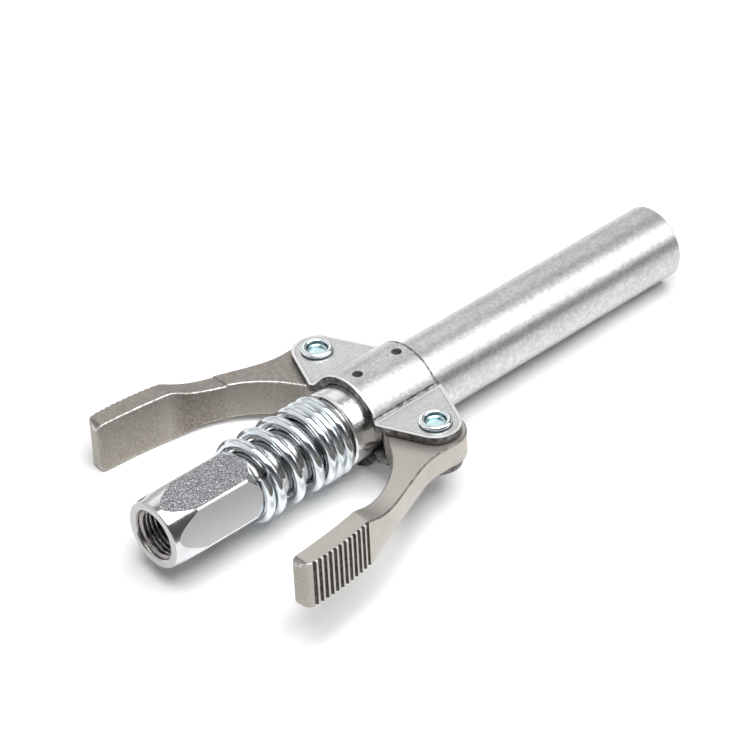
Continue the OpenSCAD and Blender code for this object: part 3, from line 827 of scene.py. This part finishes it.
def touch_angle(point, centre, radius, side):
    """Angle at which a line from a point touches a circle, on one side or the other."""
    away = Vector(point) - Vector(centre)
    return math.degrees(math.atan2(away.y, away.x) + side * math.acos(radius / away.length))


bend_in = arc((bend_y, bend_z), bend_r, 270, 180 + bend_angle, 10)
bend_out = arc((bend_y, bend_z), bend_r + sheet_t, 180 + bend_angle, 270, 10)
upper_half = [(ear_end, ear_top)] + bend_in + arc((0, 0), wrap_out, bend_angle, 90, 30)[1:]
lower_half = arc((0, 0), wrap_in, 90, bend_angle, 30)[1:-1] + bend_out + [(ear_end, ear_under)]
section = upper_half + flipped(upper_half)[1:] + flipped(lower_half) + [(0, wrap_in)] + lower_half
corner_back, corner_front = (ear_back, wrap_in + 1.4), (wrap_front + 0.7, wrap_in + 0.5)
pivot = (pivot_x, pivot_side)
ear_arc = arc(pivot, ear_r, touch_angle(corner_back, pivot, ear_r, -1) + 360,
              touch_angle(corner_front, pivot, ear_r, 1), 48)
half_plan = [(wrap_back, wrap_foot), corner_back] + ear_arc + [corner_front, (wrap_front, wrap_foot)]
plan = half_plan + [(x, -y) for x, y in half_plan[::-1]]
print("bracket section", len(section), "points and plan", len(plan), "points")

# %% Bracket marks
along_x, upwards = Vector((1, 0, 0)), Vector((0, 0, 1))
panel_border, panel_rim, border_highlight = 0.65, 0.12, 0.5
# The ears' cut edge gets painted shade from the lever's side up to this height.
ear_shade_top = ear_under + 0.65
wrap_level = ear_top + 0.6
rim_band, dark_band = 0.5, 0.45
upright, wrap_half = 0.3, 7.6
foot_rise, foot_width, foot_level = 0.5, 0.75, 0.985


def divide(piece, places, axis):
    """Divide the faces at places along an axis."""
    with editing(piece.data) as work:
        for place in places:
            everything = work.verts[:] + work.edges[:] + work.faces[:]
            bmesh.ops.bisect_plane(work, geom=everything, dist=weld, plane_co=axis * place * MM,
                                   plane_no=axis)


def sheared(middle, normal):
    """The sheet's cut edges are upright and lie along the plan's outline."""
    outside = abs(middle.x - pivot_x) > wrap_half or abs(middle.y) > wrap_out
    return abs(normal.z) < upright and outside and abs(normal.x) + abs(normal.y) > 0.9


def shade_and_crease_lines(height, middle, up):
    """Painted shade lines: the cut edge next to the lever, the crease, with dirt, and the wrap's front
    edge.
    """
    foot = (0 < height - ear_top < foot_rise and bend_y - foot_width < abs(middle.y) < bend_y
            and up < foot_level)
    shade_under_ear = height < ear_shade_top and abs(up) < upright
    return shade_under_ear or foot or (middle.x > wrap_front - dark_band and height > wrap_level)


def outline_panel(plate, side):
    """Mark off a panel in each ear's outer face, with a fine line round it, as the press leaves it."""
    with editing(plate.data) as work:
        layers = work.faces.layers.float
        panel, line = layers.new("ear_panel"), layers.new("panel_line")
        wear_and_highlight = layers["edge_wear_and_highlight"]
        flats = [face for face in work.faces if side * face.normal.z > 0.9999
                 and abs(side * face.calc_center_median().z - ear_top * MM) < 0.02 * MM]
        # The border gets a painted highlight at half strength.
        for width, layer, value in ((panel_border, wear_and_highlight, border_highlight), (panel_rim, line, 1.0)):
            inset = bmesh.ops.inset_region(work, faces=flats, thickness=width * MM, use_even_offset=True)
            for face in inset["faces"]:
                face[layer] = value
        for face in flats:
            face[panel] = 1.0


print("panels lie", panel_border, "mm inside the ears")

# %% Brackets
rivet_hole_r = 2.52


def bracket(node, side):
    """One plate: side is 1 above the sleeve and -1 below it."""
    bent = [(u, side * v) for u, v in section]
    plate = extruded(f"{node}_plate", bent, ear_back - 2, wrap_front + 2, seen_along_axis)
    combine(plate, extruded("plan", plan, -cut_reach, cut_reach, seen_from_above), "INTERSECT")
    for place in (1, -1):
        drill(plate, (pivot_x, place * pivot_side), rivet_hole_r, 60)
    for x in pin_places:
        drill(plate, (x, 0), pin_hole_r, 36)
    ease_edges(plate, 0.3, over=50)
    divide(plate, (wrap_back + rim_band, wrap_front - rim_band), along_x)
    divide(plate, (side * ear_shade_top,), upwards)
    outline_panel(plate, side)
    smooth(plate, 32)
    # Painted highlight on the upward faces of the wrap's back rim, and none on its other faces.
    wear_and_highlight = plate.data.attributes["edge_wear_and_highlight"].data
    for face in plate.data.polygons:
        if face.center.x < (wrap_back + rim_band) * MM and side * face.center.z > wrap_level * MM:
            wear_and_highlight[face.index].value = float(side * face.normal.z > upright)
    # The cut edges get a rough sheared look and painted shade.
    mark_faces(plate, "cut_edge", sheared)
    mark_faces(plate, "zinc_spots", lambda middle, normal: math.hypot(middle.y, middle.z) < wrap_out + 0.1)
    # Painted shade lines, with dirt in the crease.
    mark_faces(plate, "crease", lambda middle, normal: shade_and_crease_lines(side * middle.z, middle, side * normal.z))
    finish_piece(plate, bracket_zinc, "sleeve", "bracket_zinc", node)


bracket("upper_bracket", 1)
bracket("lower_bracket", -1)

# %% [markdown]
# ## Rivets
# Each lever turns on a tubular rivet: a domed head below and, above, a rim rolled over by the setting
# tool, round a hollow with a domed, shining floor. The hollow's wall and the rim's underside get
# painted shade. The two are alike, so one outline is turned and Geometry Nodes puts it at both pivots.

# %% Rivets
rivet_r, rim_r, rim_roll, rivet_head_t, rivet_head_r = 2.5, 3.3, 0.6, 0.95, 4.2
rivet_top = ear_top + rivet_head_t
hollow_r, hollow_depth, floor_dome = 1.6, 1.1, 0.35
hollow_end = rivet_top - hollow_depth
rivet_outline = [(-rivet_top, 0), (-rivet_top, 2.6), (-rivet_top + 0.25, 3.6),
                 (-ear_top - 0.15, rivet_head_r), (-ear_top, rivet_head_r), (-ear_top, rivet_r),
                 (ear_top + 0.18, rivet_r)]
rolled = arc((rim_r - rim_roll, rivet_top - rim_roll), rim_roll, -20, 165, 24)
rivet_outline += [(z, r) for r, z in rolled]
rivet_outline += [(hollow_end + 0.2, hollow_r + 0.4), (hollow_end, hollow_r), (hollow_end + floor_dome, 0)]
rivet_blank = turned("rivet_blank", soften(rivet_outline, 0.12, 3), 72)
rivet_blank.data.transform(Matrix.Rotation(-math.pi / 2, 4, "Y"))
rivet_blank.data.transform(Matrix.Scale(-1, 4, (1, 0, 0)))
rivet_blank.data.flip_normals()


def rivet_tree(blank):
    """A node tree that sets a rivet at each of two pivots."""
    tree, given, keys = node_group("set_rivets", ("Pivot Place", "Pivot Side"))
    first = add(tree, "ShaderNodeCombineXYZ", X=given["Pivot Place"], Y=given["Pivot Side"])
    apart = add(tree, "ShaderNodeCombineXYZ", Y=calculate(tree, "MULTIPLY", given["Pivot Side"], -2.0))
    line = add(tree, "GeometryNodeMeshLine", Count=2, Start_Location=first, Offset=apart)
    shape = add(tree, "GeometryNodeObjectInfo", Object=blank)
    placed = add(tree, "GeometryNodeInstanceOnPoints", Points=line, Instance=shape.outputs["Geometry"])
    close_tree(tree, placed, given["Finish"])
    return tree, keys


def from_pivot(middle):
    """Distance from the nearer rivet's axis."""
    return math.hypot(middle.x - pivot_x, abs(middle.y) - pivot_side)


rivet_values = {"Pivot Place": pivot_x * MM, "Pivot Side": pivot_side * MM, "Finish": rivet_zinc}
rivets = run_tree(make_object("rivet_pair"), *rivet_tree(rivet_blank), rivet_values)
bpy.data.objects.remove(rivet_blank)
smooth(rivets, 38)
# Painted shade on the hollow's wall and the rim's underside.
mark_faces(rivets, "hollow_shade", lambda middle, normal: middle.z > ear_top - 1 and (
    (from_pivot(middle) < 2.2 and normal.z < 0.75) or normal.z < -0.1))
mark_faces(rivets, "hollow_floor", lambda middle, normal: middle.z > 0 and normal.z > 0.8
           and from_pivot(middle) < 1.9)
finish_piece(rivets, rivet_zinc, "sleeve", "rivet_zinc", "left_rivet", "right_rivet")

# %% [markdown]
# ## Levers
# A lever is a casting: a hub on the rivet, a nose that points at the stem, and an arm that sweeps out
# to a tall grip. It starts as a flat blank cut from its plan. The rims are eased while they are still
# straight, and then the upper and the lower side are moved to follow two lines. A pocket leaves a rib
# below. The grooves are cut last, so they run out sharp at the rim, as milled ones do.

# %% Lever outlines
def bezier(a, b, c, d, steps):
    """Points of a cubic curve."""
    made = []
    for i in range(steps + 1):
        t = i / steps
        s = 1 - t
        made.append(tuple(s ** 3 * p + 3 * s * s * t * q + 3 * s * t * t * r + t ** 3 * w
                          for p, q, r, w in zip(a, b, c, d)))
    return made


lever_reach, grip_out, grip_t, grip_h, hub_h, hub_r = 47.0, 15.2, 4.2, 10.2, 5.3, 6.0
nose_r, nose_back, nose_drop = 1.3, 2.274, 11.7
heel, heel_pull = (-8.2, -5.3), (-13.6, 4.5)
pad_len, neck_len, tip_round = 16.6, 20.0, 1.9
tip_in_r, tip_out_r = 1.0, 2.2
grip_drop, rib_h, rib_t, rib_end = 0.8, 5.1, 2.2, 11.0
step_from, step_to = -18.85, -18.5
far = 100.0
grip_in = grip_out - grip_t
tip_in, tip_out = tip_in_r - lever_reach, tip_out_r - lever_reach + 0.2
arm_outer = bezier((tip_out, grip_out), (-0.44 * lever_reach, grip_out),
                   (-0.272 * lever_reach, grip_out - 10.3), (-0.48 * hub_r, 0.975 * hub_r), 60)
arm_inner = bezier(heel, heel_pull, (-0.415 * lever_reach, grip_in - 1.6), (tip_in, grip_in), 60)
nose_tip = (-nose_back, -nose_drop)
flank = -nose_back + nose_r
hub_end = math.degrees(math.atan2(-math.sqrt(hub_r ** 2 - flank ** 2), flank))
lever_plan = (arm_outer + arc((0, 0), hub_r, 105, hub_end, 60)
              + arc(nose_tip, nose_r, 0, touch_angle(heel, nose_tip, nose_r, 1) - 360, 24) + arm_inner
              + arc((tip_in, grip_in + tip_in_r), tip_in_r, 265, 180, 10)
              + arc((tip_out, grip_out - tip_out_r), tip_out_r, 180, 95, 14))
pad_end = pad_len - lever_reach
grip_low = grip_h / 2 + grip_drop
tip_centre = tip_round * math.cos(math.radians(30)) - lever_reach
slope = bezier((pad_end, grip_h / 2), (pad_end + 2, grip_h / 2), (-neck_len - 6.5, hub_h / 2 + 0.1),
               (-neck_len, hub_h / 2), 30)
fall = bezier((pad_end, -grip_low), (pad_end + 3, -grip_low), (-neck_len - 5.5, -rib_h),
              (-neck_len - 3, -rib_h), 16)
upper_line = arc((tip_centre, grip_h / 2 - tip_round), tip_round, 150, 90, 10) + slope
lower_line = (arc((tip_centre, tip_round - grip_low), tip_round, 210, 270, 10) + fall
              + [(-rib_end, -rib_h), (-rib_end + 1.5, -hub_h / 2)])
pocket_side = ([(-far, -far), (-far, -grip_h / 2)] + [(u, -v) for u, v in slope]
               + [(hub_r, -hub_h / 2), (hub_r, -far)])
pocket_plan = ([(u, v + rib_t) for u, v in arm_inner if u < 2 - rib_end]
               + [(-far, grip_in + rib_t), (-far, far), (2 - rib_end, far)])
print("lever outline", len(lever_plan), "points")

# %% Groove cutter
def groove_tree():
    """A node tree that cuts upright grooves into the outer face of a lever's grip."""
    tree, given, keys = node_group("cut_grooves", ("First", "Pitch", "Depth", "Half Width", "Height"),
                                   integers=("Count",), geometry=True)
    start = add(tree, "ShaderNodeCombineXYZ", X=given["First"], Y=0.1)
    step = add(tree, "ShaderNodeCombineXYZ", X=given["Pitch"])
    line = add(tree, "GeometryNodeMeshLine", Count=given["Count"], Start_Location=start, Offset=step)
    found = add(tree, "GeometryNodeRaycast", Target_Geometry=given["Geometry"],
                Ray_Direction=(0, -1, 0), Ray_Length=1.0)
    outward = calculate(tree, "SUBTRACT", given["Half Width"], given["Depth"])
    shift = add(tree, "ShaderNodeCombineXYZ", Y=outward)
    seat = add(tree, "GeometryNodeSetPosition", Geometry=line,
               Position=found.outputs["Hit Position"], Offset=shift)
    cutter = add(tree, "GeometryNodeMeshCylinder", Vertices=20, Radius=given["Half Width"],
                 Depth=given["Height"])
    # The cutters' faces are marked as grooves, which the finish darkens with dirt and painted shade.
    marked = add(tree, "GeometryNodeStoreNamedAttribute", {"data_type": "FLOAT", "domain": "FACE"},
                 Geometry=cutter, Name="groove", Value=1.0)
    placed = add(tree, "GeometryNodeInstanceOnPoints", Points=seat, Instance=marked)
    real = add(tree, "GeometryNodeRealizeInstances", Geometry=placed)
    cut = add(tree, "GeometryNodeMeshBoolean", {"operation": "DIFFERENCE", "solver": "EXACT"},
              Mesh_1=given["Geometry"], Mesh_2=real)
    close_tree(tree, cut, given["Finish"])
    return tree, keys


cut_grooves, groove_keys = groove_tree()
print("groove tree with", len(groove_keys), "inputs")

# %% Lever sides
# How much painted shade the inner side gets along the arm, most past the knee.
inner_shade_line = [(-34.0, 0.95), (-31.0, 0.78), (-27.5, 1.3), (-23.0, 1.25), (-18.0, 0.85)]
tip_share = 0.7


def height_at(line, x):
    """Height of a line of (x, z) points at a place, level beyond its ends."""
    if x <= line[0][0]:
        return line[0][1]
    for (x0, z0), (x1, z1) in zip(line, line[1:]):
        if x <= x1:
            return z0 + (z1 - z0) * (x - x0) / max(x1 - x0, 1e-9)
    return line[-1][1]


def follow_lines(piece, upper, lower, half):
    """Slice a flat blank across, then let its two flat sides follow two lines of (x, z) points."""
    divide(piece, sorted({round(x, 2) for x, z in upper + lower}), along_x)
    for point in piece.data.vertices:
        line, level = (upper, half) if point.co.z > 0 else (lower, -half)
        point.co.z += (height_at(line, point.co.x / MM) - level) * MM
    piece.data.update()


def shaded(middle, normal):
    """Painted shade: the inner side is dark, most in the middle of the arm, the tip's end somewhat."""
    if abs(normal.z) > 0.5 or middle.x > -7:
        return 0.0
    inner = height_at(inner_shade_line, middle.x) if normal.y < -0.5 else 0.0
    return max(inner, -tip_share * normal.x)


def mark_edges(arm, worn, step):
    """Part the eased edges into worn, lit ones and painted shade lines, and paint shade on the step."""
    mark_faces(arm, "edge_shade_line", lambda middle, normal: not worn(middle, normal))
    line, wear_and_highlight = (arm.data.attributes[name].data for name in ("edge_shade_line", "edge_wear_and_highlight"))
    for face in arm.data.polygons:
        line[face.index].value *= wear_and_highlight[face.index].value
        wear_and_highlight[face.index].value -= line[face.index].value
        # Painted shade on the ramp of the step.
        if step and step_from + 0.02 < face.center.x / MM < step_to - 0.02 and face.normal.z > 0.3:
            line[face.index].value = 1.0


print("the inner side is marked at", len(inner_shade_line), "places")

# %% Levers
lever_bore_r, groove_count = 2.55, 12
groove_sizes = {"First": 2.2 - lever_reach, "Pitch": 1.3, "Depth": 0.45, "Half Width": 0.42, "Height": 30}
groove_values = {label: size * MM for label, size in groove_sizes.items()}
groove_values.update({"Count": groove_count, "Finish": lever_metal})


def lever_arm(name, step, top_shade, worn):
    """One lever about its rivet, with its tip towards -X and its nose towards -Y.

    Step is the step on its upper side, then come the painted shade on that side and the worn, lit edges.
    """
    stepped = [(step_from, hub_h / 2), (step_to, hub_h / 2 + step)] if step else []
    arm = extruded(name, lever_plan, -grip_h, grip_h, seen_from_above)
    ease_edges(arm, 0.4, over=35)
    follow_lines(arm, upper_line + stepped, lower_line, grip_h)
    pocket = extruded("pocket", pocket_plan, -far, far, seen_from_above)
    combine(pocket, extruded("under", pocket_side, -far, far, seen_from_side), "INTERSECT")
    combine(arm, pocket, "DIFFERENCE")
    drill(arm, (0, 0), lever_bore_r, 60)
    mark_edges(arm, worn, step)
    # Painted shade on the inner side and the tip's end.
    mark_faces(arm, "inner_side", shaded)
    # Painted shade on the upper faces.
    mark_faces(arm, "upper_side", lambda middle, normal: top_shade * (normal.z > 0.85))
    # Painted shade on the tip's rounded top.
    mark_faces(arm, "tip_side", lambda middle, normal: normal.z > 0.2 and normal.x < -0.2
               and abs(normal.y) < 0.3 and middle.x < 3 - lever_reach)
    return run_tree(arm, cut_grooves, groove_keys, groove_values)


left_arm = lever_arm("left_lever_arm", step=0.3, top_shade=2.0, worn=lambda middle, normal: normal.y < 0.3)
right_arm = lever_arm("right_lever_arm", step=0.0, top_shade=0.3,
                      worn=lambda middle, normal: middle.x < pad_end and normal.y > -0.3)
right_arm.data.transform(Matrix.Scale(-1, 4, (0, 1, 0)))
right_arm.data.flip_normals()
for arm, side, body in ((left_arm, 1, "left_lever"), (right_arm, -1, "right_lever")):
    arm.data.transform(Matrix.Translation(Vector((pivot_x, side * pivot_side, 0)) * MM))
    smooth(arm, 32)
    finish_piece(arm, lever_metal, body, "lever_metal", body)

# %% [markdown]
# ## Pieces that stay as they are
# The jaws, the plunger with its ring and seal, the check valve and the pins keep their solids, since
# their shapes are right. Each only gets its finish.

# %% Finishes for the other solids
# The pins' near-black finish is painted shade for their holes.
kept = {"jaw_top": jaw_steel, "jaw_left": jaw_steel, "jaw_bottom": jaw_steel, "jaw_right": jaw_steel,
        "bracket_pins": pin_steel, "seal_plunger": brass, "check_seat": brass, "check_ball": ball_steel,
        "plunger_ring": black_rubber, "nozzle_seal": black_rubber}
for name, finish in kept.items():
    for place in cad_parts[name].material_slots:
        place.material = finish
print("finished in place", len(kept))

# %% [markdown]
# ## Floor and light
# The coupler lies on its nose, its lower bracket and its left grip, so in its own frame the floor
# slopes and is rolled a little. One broad light overhead gives the soft shadow. Stronger lamps could
# make the floor white, but they would wash out the metal, so the floor is paler only where a camera
# or a mirror sees it, and far away it glows. Metal shows what stands around it: a card to the right,
# seen in reflections alone, draws the bright line along the sleeve, and lighter and darker patches of
# the room draw the other lines. Where the camera sees the room itself, it is white.

# %% Floor
floor_slope = (wrap_out - sleeve_r) / (sleeve_end - wrap_front)
floor_roll = math.radians(9.5)
floor_half = 4000.0
floor_gap = 0.02
lit_white, seen_white = 0.9, 1.25
glow_from, glow_full = 0.4, 0.9


def floor_height(x, y):
    """The plane that touches the nose, the lower bracket and the left grip."""
    nose_y, nose_z = sleeve_r * math.sin(floor_roll), -sleeve_r * math.cos(floor_roll)
    rise = floor_slope * (x - sleeve_end) + math.sin(floor_roll) * (y - nose_y)
    return nose_z - floor_gap + rise / math.cos(floor_roll)


floor_plan = [(floor_half * u, floor_half * v) for u, v in ((-1, -1), (1, -1), (1, 1), (-1, 1))]
floor = make_object("floor", [(x, y, floor_height(x, y)) for x, y in floor_plan], [(0, 1, 2, 3)])
floor_white, floor_tree, unused_surface = new_finish("floor_white")
floor_tree.nodes.remove(unused_surface)
path = add(floor_tree, "ShaderNodeLightPath").outputs
seen = path["Is Camera Ray"]
for ray in ("Is Glossy Ray", "Is Transmission Ray"):
    seen = calculate(floor_tree, "MAXIMUM", seen, path[ray])
matte = add(floor_tree, "ShaderNodeBsdfDiffuse", Color=reach(floor_tree, seen, 0, 1, lit_white, seen_white))
away = add(floor_tree, "ShaderNodeVectorMath", {"operation": "LENGTH"})
feed(floor_tree, away.inputs[0], add(floor_tree, "ShaderNodeTexCoord").outputs["Object"])
far_share = reach(floor_tree, away.outputs["Value"], glow_from, glow_full, 0, 1)
glow_share = calculate(floor_tree, "MULTIPLY", far_share, seen)
glow = add(floor_tree, "ShaderNodeEmission", Strength=1.0)
both = add(floor_tree, "ShaderNodeMixShader")
for socket, source in zip(both.inputs, (glow_share, matte, glow)):
    feed(floor_tree, socket, source)
feed(floor_tree, floor_tree.nodes["Material Output"].inputs["Surface"], both)
floor.data.materials.append(floor_white)
print("floor slope", round(math.degrees(math.atan(floor_slope)), 2), "degrees")

# %% Lights
coupler_middle = Vector((0.065, 0, 0))


def softbox(name, direction, distance, width, height, radiance):
    """A rectangular lamp that faces the middle of the coupler."""
    lamp = bpy.data.lights.new(name, "AREA")
    lamp.shape = "RECTANGLE"
    lamp.size, lamp.size_y = width, height
    lamp.energy = radiance * math.pi * width * height
    made = put(name, lamp)
    towards = Vector(direction).normalized()
    made.location = coupler_middle + towards * distance
    made.rotation_euler = towards.to_track_quat("Z", "Y").to_euler()
    return made


softbox("overhead", (-0.05, -0.28, 1), distance=1.2, width=1.25, height=1.05, radiance=4.4)
card = softbox("card", (0.6, -0.5, 0.62), distance=1.0, width=0.5, height=0.75, radiance=2.2)
card.visible_diffuse = False

# %% Room
room_level = 0.3
world = bpy.data.worlds.new("room")
bpy.context.scene.world = world
world.use_nodes = True
room = world.node_tree
outlook = add(room, "ShaderNodeTexCoord").outputs["Generated"]


def patch(direction, start, full, amount):
    """A soft patch of the room round a direction, lighter or darker by an amount."""
    facing = add(room, "ShaderNodeVectorMath", {"operation": "DOT_PRODUCT"})
    feed(room, facing.inputs[0], outlook)
    feed(room, facing.inputs[1], Vector(direction).normalized())
    return add(room, "ShaderNodeMapRange", {"interpolation_type": "SMOOTHSTEP"},
               Value=facing.outputs["Value"], From_Min=start, From_Max=full, To_Min=0, To_Max=amount)


patches = (patch((0.45, 0.58, 0.68), start=0.913, full=0.974, amount=0.75),
           patch((-0.6, 0.55, 0.58), start=0.76, full=0.94, amount=0.6),
           patch((0.2, 0.97, 0.1), start=0.7, full=0.94, amount=0.35),
           patch((0.12, -0.9, 0.42), start=0.82, full=0.97, amount=-0.2),
           patch((-0.53, -0.61, 0.59), start=0.86, full=0.97, amount=-0.2))
total = room_level
for share in patches:
    total = calculate(room, "ADD", total, share)
shown_white = add(room, "ShaderNodeLightPath").outputs["Is Camera Ray"]
background = room.nodes["Background"].inputs
feed(room, background["Strength"], calculate(room, "MAXIMUM", total, shown_white))
feed(room, background["Color"], (1, 1, 1, 1))
world.cycles_visibility.diffuse = False
print("room with", len(patches), "patches")
